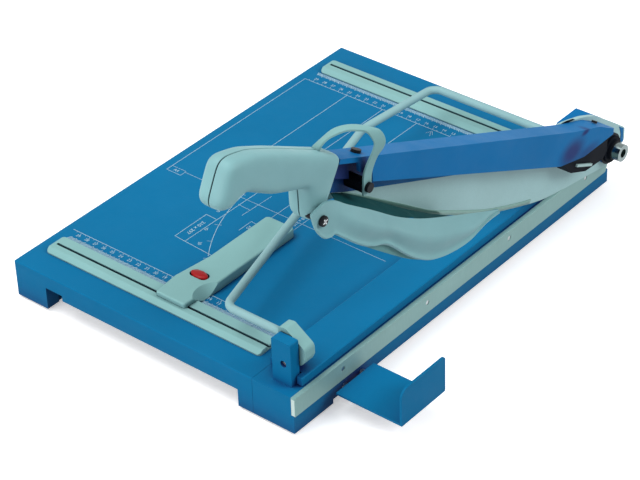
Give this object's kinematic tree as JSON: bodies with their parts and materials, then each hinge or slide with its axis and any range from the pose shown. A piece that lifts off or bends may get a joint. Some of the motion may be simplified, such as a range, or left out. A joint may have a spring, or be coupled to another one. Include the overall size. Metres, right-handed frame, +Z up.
{
  "type": "lever-arm paper cutter",
  "caption": "Desk guillotine with a long hinged blade arm, paper clamp lever, sliding backstop with a release button and a pull-out side stop.",
  "frame": {"origin": "centre of the bounding box in plan, on the desk under the rubber feet", "axes": "+X to the right across the table towards the blade, +Y from the handle end to the pivot end, +Z up"},
  "size_m": [0.381, 0.5634, 0.3066],
  "materials": {
    "table_blue": "satin enamel with a faint orange-peel grain",
    "arm_blue": "semi-gloss enamel",
    "knife_steel": "ground and lightly oiled",
    "grey_green_enamel": "satin enamel",
    "grip_plastic": "fine-grained, soft sheen",
    "zinc_steel": "zinc plated",
    "chrome_steel": "bright chrome",
    "black_plastic": "fine-grained",
    "black_rubber": "matte",
    "red_plastic": "glossy",
    "lens_plastic": "frosted"
  },
  "bodies": {
    "base": {"base_table": "table_blue", "bed_rail": "table_blue", "lower_knife": "knife_steel", "knife_screws": "zinc_steel", "front_rail": "grey_green_enamel", "back_rail": "grey_green_enamel", "rail_screws": "zinc_steel", "rubber_feet": "black_rubber", "table_screws": "zinc_steel", "front_post": "table_blue", "rear_post": "arm_blue", "front_pin": "zinc_steel", "rear_pin": "zinc_steel", "post_screws": "zinc_steel", "pivot_bolt": "chrome_steel", "pivot_nut": "zinc_steel", "pivot_ring": "zinc_steel", "pivot_bush": "black_plastic", "pivot_washer": "zinc_steel", "clamp_spring_front": "zinc_steel", "clamp_spring_rear": "zinc_steel"},
    "arm": {"arm_beam": "arm_blue", "upper_blade": "knife_steel", "blade_bolts": "zinc_steel", "light_housing": "black_plastic", "light_strip": "lens_plastic", "arm_tang": "zinc_steel", "handle_left": "grip_plastic", "handle_right": "grip_plastic", "handle_screws": "zinc_steel", "guard_screw": "zinc_steel", "strap": "grey_green_enamel", "strap_standoff": "black_plastic", "strap_screw": "zinc_steel", "arm_screw_front": "zinc_steel", "arm_screw_rear": "zinc_steel"},
    "guard": {"blade_guard": "grey_green_enamel"},
    "clamp_lever": {"front_lever": "grey_green_enamel", "rear_lever": "grey_green_enamel", "clamp_bar": "grey_green_enamel"},
    "clamp": {"clamp_plate": "table_blue"},
    "backstop": {"backstop_bar": "grey_green_enamel", "backstop_key": "zinc_steel"},
    "button": {"backstop_button": "red_plastic", "button_spring": "zinc_steel"},
    "side_stop": {"side_stop": "table_blue", "stop_carrier": "table_blue", "stop_rods": "zinc_steel"}
  },
  "joints": [
    {"name": "arm_hinge", "type": "hinge", "parent": "base", "child": "arm", "pos_m": [0.1165, 0.24073, 0.05], "axis": [1, 0, 0], "range_deg": [-6, 24]},
    {"name": "guard_hinge", "type": "hinge", "parent": "arm", "child": "guard", "pos_m": [0.15, -0.18427, 0.2183], "axis": [1, 0, 0], "range_deg": [-7.2, 28.8]},
    {"name": "clamp_lever_hinge", "type": "hinge", "parent": "base", "child": "clamp_lever", "pos_m": [0.0995, 0, 0.057], "axis": [0, 1, 0], "range_deg": [-8, 30]},
    {"name": "clamp_slide", "type": "slide", "parent": "base", "child": "clamp", "axis": [0, 0, 1], "range_m": [-0.00068, 0.00255], "deforming": ["clamp_spring_front", "clamp_spring_rear"]},
    {"name": "backstop_slide", "type": "slide", "parent": "base", "child": "backstop", "axis": [1, 0, 0], "range_m": [-0.115, 0.08]},
    {"name": "button_press", "type": "slide", "parent": "backstop", "child": "button", "axis": [0, 0, -1], "range_m": [0, 0.0015], "stiffness_N_per_m": 900, "springref_m": -0.0008, "deforming": ["button_spring"]},
    {"name": "side_stop_slide", "type": "slide", "parent": "base", "child": "side_stop", "axis": [1, 0, 0], "range_m": [0, 0.06]}
  ],
  "couplings": [
    {"joint": "guard_hinge", "follows": "arm_hinge", "ratio": 1.2},
    {"joint": "clamp_slide", "follows": "clamp_lever_hinge", "m_per_rad": 0.00487}
  ]
}
